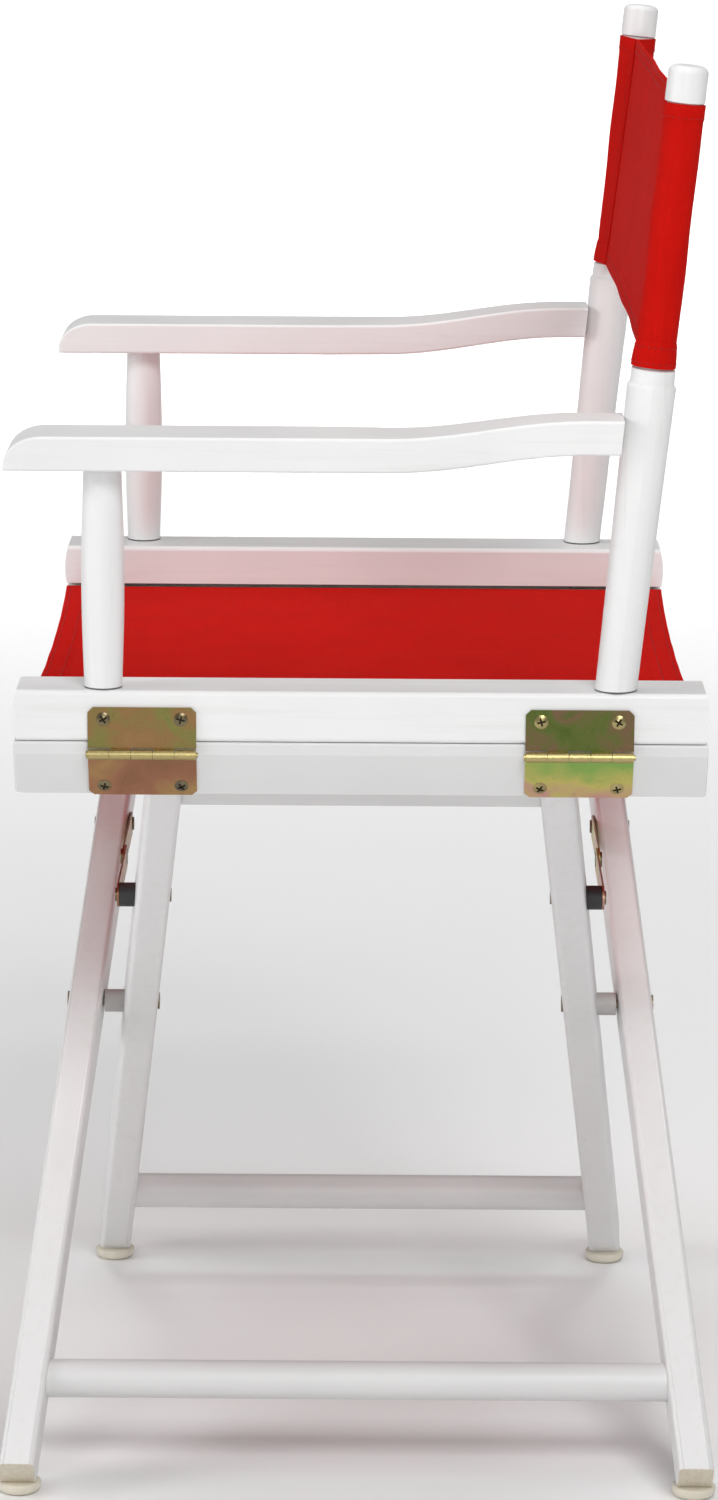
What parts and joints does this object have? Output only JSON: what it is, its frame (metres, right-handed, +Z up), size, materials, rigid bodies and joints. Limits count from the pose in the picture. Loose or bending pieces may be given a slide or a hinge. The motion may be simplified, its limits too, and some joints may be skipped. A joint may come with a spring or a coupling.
{
  "type": "folding director chair",
  "caption": "folding director chair: white wooden scissor frame with armrests, round posts, plated steel hinges and braces, and a red canvas seat and back",
  "frame": {"origin": "on the floor, at the middle of the chair's footprint", "axes": "+X is the sitter's left, -Y is the front, +Z is up"},
  "size_m": [0.56, 0.4358, 0.8656],
  "materials": {
    "painted_wood": "smooth white satin paint on wood",
    "bare_wood": "plain sanded wood",
    "canvas": "red plain-weave cotton canvas",
    "plated_steel": "steel with iridescent yellow chromate plating",
    "bright_steel": "bright zinc-plated steel",
    "glide_plastic": "cream moulded plastic",
    "dark_plastic": "dark grey moulded plastic"
  },
  "bodies": {
    "left_arm": {"seat_rail_left": "painted_wood", "front_post_left": "painted_wood", "back_post_left": "painted_wood", "armrest_left": "painted_wood", "arm_dowel_left": "bare_wood", "seat_dowel_left": "bare_wood", "upper_hinge_leaves_left": "plated_steel", "upper_hinge_screws_left": "plated_steel", "back_sleeve_left": "canvas"},
    "inner_frame": {"inner_lower_rail": "painted_wood", "inner_apron": "painted_wood", "inner_front_leg": "painted_wood", "inner_rear_leg": "painted_wood", "inner_stretcher": "painted_wood", "inner_glides": "glide_plastic", "inner_glide_nails": "bright_steel", "lower_hinge_leaves_left": "plated_steel", "hinge_pins_left": "plated_steel", "lower_hinge_screws_left": "plated_steel", "pivot_bolts": "plated_steel", "pivot_nuts": "plated_steel", "pivot_spacers": "painted_wood", "inner_brace_bolts": "plated_steel", "inner_brace_spacers": "dark_plastic"},
    "outer_frame": {"outer_lower_rail": "painted_wood", "outer_apron": "painted_wood", "outer_front_leg": "painted_wood", "outer_rear_leg": "painted_wood", "outer_stretcher": "painted_wood", "outer_glides": "glide_plastic", "outer_glide_nails": "bright_steel", "lower_hinge_leaves_right": "plated_steel", "hinge_pins_right": "plated_steel", "lower_hinge_screws_right": "plated_steel", "outer_brace_bolts": "plated_steel"},
    "right_arm": {"seat_rail_right": "painted_wood", "front_post_right": "painted_wood", "back_post_right": "painted_wood", "armrest_right": "painted_wood", "arm_dowel_right": "bare_wood", "seat_dowel_right": "bare_wood", "upper_hinge_leaves_right": "plated_steel", "upper_hinge_screws_right": "plated_steel", "back_sleeve_right": "canvas"},
    "left_brace": {"brace_straps_left": "plated_steel", "brace_rivet_heads": "plated_steel"},
    "right_brace": {"brace_straps_right": "plated_steel", "brace_rivet_tails": "plated_steel"},
    "left_seat": {"seat_canvas_left": "canvas"},
    "right_seat": {"seat_canvas_right": "canvas"},
    "left_back": {"back_canvas_left": "canvas"},
    "right_back": {"back_canvas_right": "canvas"}
  },
  "joints": [
    {"name": "fold", "type": "hinge", "parent": "left_arm", "child": "inner_frame", "pos_m": [0.2712, 0, 0.466], "axis": [0, -1, 0], "range_deg": [0, 42]},
    {"name": "scissor", "type": "hinge", "parent": "inner_frame", "child": "outer_frame", "pos_m": [0, 0, 0.246], "axis": [0, -1, 0], "range_deg": [-84, 0]},
    {"name": "right_hinge", "type": "hinge", "parent": "outer_frame", "child": "right_arm", "pos_m": [-0.2712, 0, 0.466], "axis": [0, -1, 0], "range_deg": [0, 42]},
    {"name": "left_brace_pivot", "type": "hinge", "parent": "inner_frame", "child": "left_brace", "pos_m": [0.09816, 0, 0.34013], "axis": [0, -1, 0], "range_deg": [0, 42.9]},
    {"name": "right_brace_pivot", "type": "hinge", "parent": "outer_frame", "child": "right_brace", "pos_m": [-0.09816, 0, 0.34013], "axis": [0, -1, 0], "range_deg": [-42.9, 0]},
    {"name": "seat_left_edge", "type": "hinge", "parent": "left_arm", "child": "left_seat", "pos_m": [0.224, 0, 0.4761], "axis": [0, -1, 0], "range_deg": [-88.3, 0], "deforming": ["seat_canvas_left"]},
    {"name": "seat_crease", "type": "hinge", "parent": "left_seat", "child": "right_seat", "pos_m": [0, 0, 0.4761], "axis": [0, -1, 0], "range_deg": [0, 176.5], "deforming": ["seat_canvas_right"]},
    {"name": "back_left_edge", "type": "hinge", "parent": "left_arm", "child": "left_back", "pos_m": [0.23959, 0.16933, 0.765], "axis": [0, 0.0962, 0.9954], "range_deg": [-84.7, 0], "deforming": ["back_canvas_left"]},
    {"name": "back_crease", "type": "hinge", "parent": "left_back", "child": "right_back", "pos_m": [0, 0.16933, 0.765], "axis": [0, 0.0962, 0.9954], "range_deg": [0, 169.3], "deforming": ["back_canvas_right"]}
  ],
  "couplings": [
    {"joint": "scissor", "follows": "fold", "ratio": -2},
    {"joint": "right_hinge", "follows": "fold", "ratio": 1},
    {"joint": "left_brace_pivot", "follows": "fold", "ratio": 1.0181},
    {"joint": "right_brace_pivot", "follows": "fold", "ratio": -1.0181},
    {"joint": "seat_left_edge", "follows": "fold", "ratio": -2.0994},
    {"joint": "seat_crease", "follows": "fold", "ratio": 4.1988},
    {"joint": "back_left_edge", "follows": "fold", "ratio": -2.0133},
    {"joint": "back_crease", "follows": "fold", "ratio": 4.0266}
  ]
}
